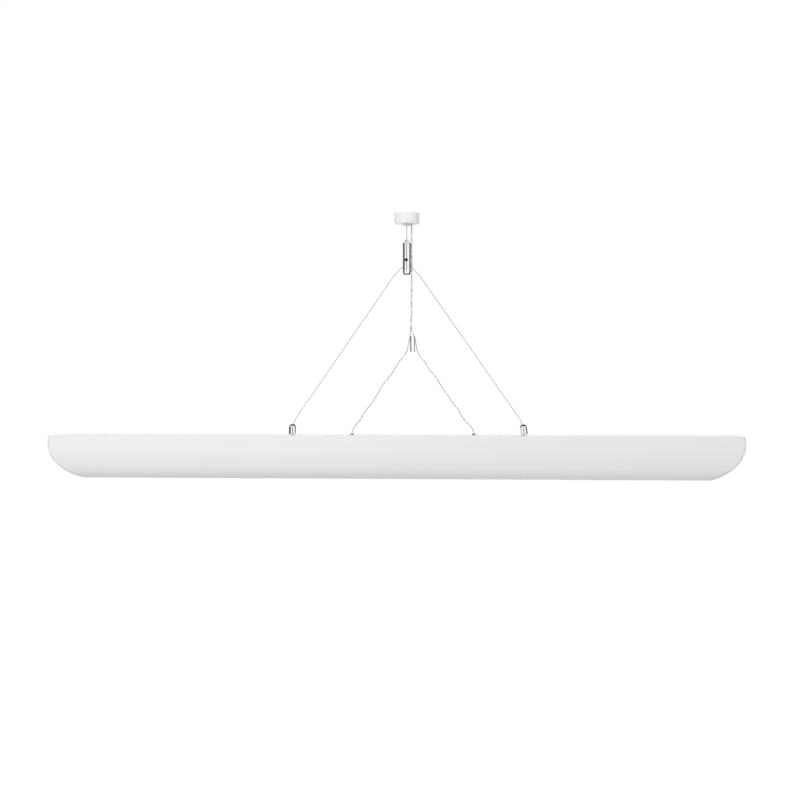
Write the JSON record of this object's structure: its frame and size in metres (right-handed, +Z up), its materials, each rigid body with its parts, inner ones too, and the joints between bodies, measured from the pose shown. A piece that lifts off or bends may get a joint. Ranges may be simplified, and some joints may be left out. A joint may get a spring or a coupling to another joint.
{
  "type": "hanging shop light",
  "caption": "Long white trough light with curved ends, hung by thin wire rope from a small ceiling rose through a self-gripping chrome hub.",
  "frame": {"origin": "on the ceiling, at the middle of the rose's plate, on the suspension rope's axis", "axes": "+Z up, +X along the trough to the viewer's right, -Y towards the viewer"},
  "size_m": [1.2, 0.15, 0.461],
  "materials": {
    "white_paint": "satin",
    "opal": "satin",
    "chrome": "polished",
    "steel_rope": "satin",
    "steel": "satin",
    "black_steel": "satin",
    "clear_insulation": "gloss",
    "lead_insulation": "satin",
    "brass": "satin",
    "terminal_plastic": "matte",
    "rubber": "matte",
    "aluminium": "satin",
    "board": "satin",
    "chips": "satin",
    "zinc_plate": "satin",
    "ferrite": "matte"
  },
  "bodies": {
    "ceiling_rose": {"rose_base": "steel", "rose_cover": "white_paint", "rope_socket": "brass", "rose_nut": "white_paint", "socket_lock_nut": "steel", "rose_terminal": "terminal_plastic", "rose_terminal_screws": "brass"},
    "rope_swivel": {"ball_seat": "terminal_plastic"},
    "suspension_rope": {"rope_ball": "steel", "top_rope": "steel_rope"},
    "plunger": {"hub_plunger": "chrome", "grip_balls": "steel"},
    "left_gripper": {"left_gripper_cap": "chrome", "left_gripper_ring": "chrome"},
    "right_gripper": {"right_gripper_cap": "chrome", "right_gripper_ring": "chrome"},
    "light": {"carrier_rivets": "zinc_plate", "diffuser": "opal", "driver_board": "board", "driver_capacitors": "aluminium", "driver_case": "zinc_plate", "driver_lid": "zinc_plate", "driver_spacers": "board", "driver_terminal": "terminal_plastic", "driver_terminal_screws": "brass", "driver_transformer": "ferrite", "grip_sleeve": "steel", "gripper_nuts": "steel", "gripper_studs": "steel", "hub_body": "chrome", "hub_foot_plug": "black_steel", "hub_set_screw": "black_steel", "led_board_1": "board", "led_board_2": "board", "led_board_3": "board", "led_board_4": "board", "led_carrier": "aluminium", "led_chips": "chips", "left_end_plate": "white_paint", "left_end_seal": "rubber", "left_grommet": "chrome", "left_inner_lead": "lead_insulation", "left_leg_rope": "steel_rope", "left_wire": "clear_insulation", "leg_block": "steel", "leg_nipples": "steel", "leg_stops": "steel", "plunger_spring": "steel", "right_end_plate": "white_paint", "right_end_seal": "rubber", "right_grommet": "chrome", "right_inner_lead": "lead_insulation", "right_leg_rope": "steel_rope", "right_wire": "clear_insulation", "splitter_body": "chrome", "splitter_plug": "steel", "top_tray": "white_paint", "trunk_cable": "clear_insulation", "trunk_ferrules": "brass"}
  },
  "joints": [
    {"name": "swing_along", "type": "hinge", "parent": "ceiling_rose", "child": "rope_swivel", "pos_m": [0, 0, -0.018], "axis": [0, 1, 0], "range_deg": [-10, 10]},
    {"name": "swing_across", "type": "hinge", "parent": "rope_swivel", "child": "suspension_rope", "pos_m": [0, 0, -0.018], "axis": [1, 0, 0], "range_deg": [-10, 10]},
    {"name": "height_adjust", "type": "slide", "parent": "suspension_rope", "child": "light", "axis": [0, 0, 1], "range_m": [0, 0.01]},
    {"name": "plunger_press", "type": "slide", "parent": "light", "child": "plunger", "axis": [0, 0, -1], "range_m": [0, 0.0025], "stiffness_N_per_m": 600, "springref_m": -0.004, "deforming": ["plunger_spring"]},
    {"name": "left_gripper_tilt", "type": "hinge", "parent": "light", "child": "left_gripper", "pos_m": [-0.202, 0, -0.3805], "axis": [0, 1, 0], "range_deg": [-1.5, 7.5]},
    {"name": "right_gripper_tilt", "type": "hinge", "parent": "light", "child": "right_gripper", "pos_m": [0.204, 0, -0.3805], "axis": [0, 1, 0], "range_deg": [-2, 4]}
  ]
}
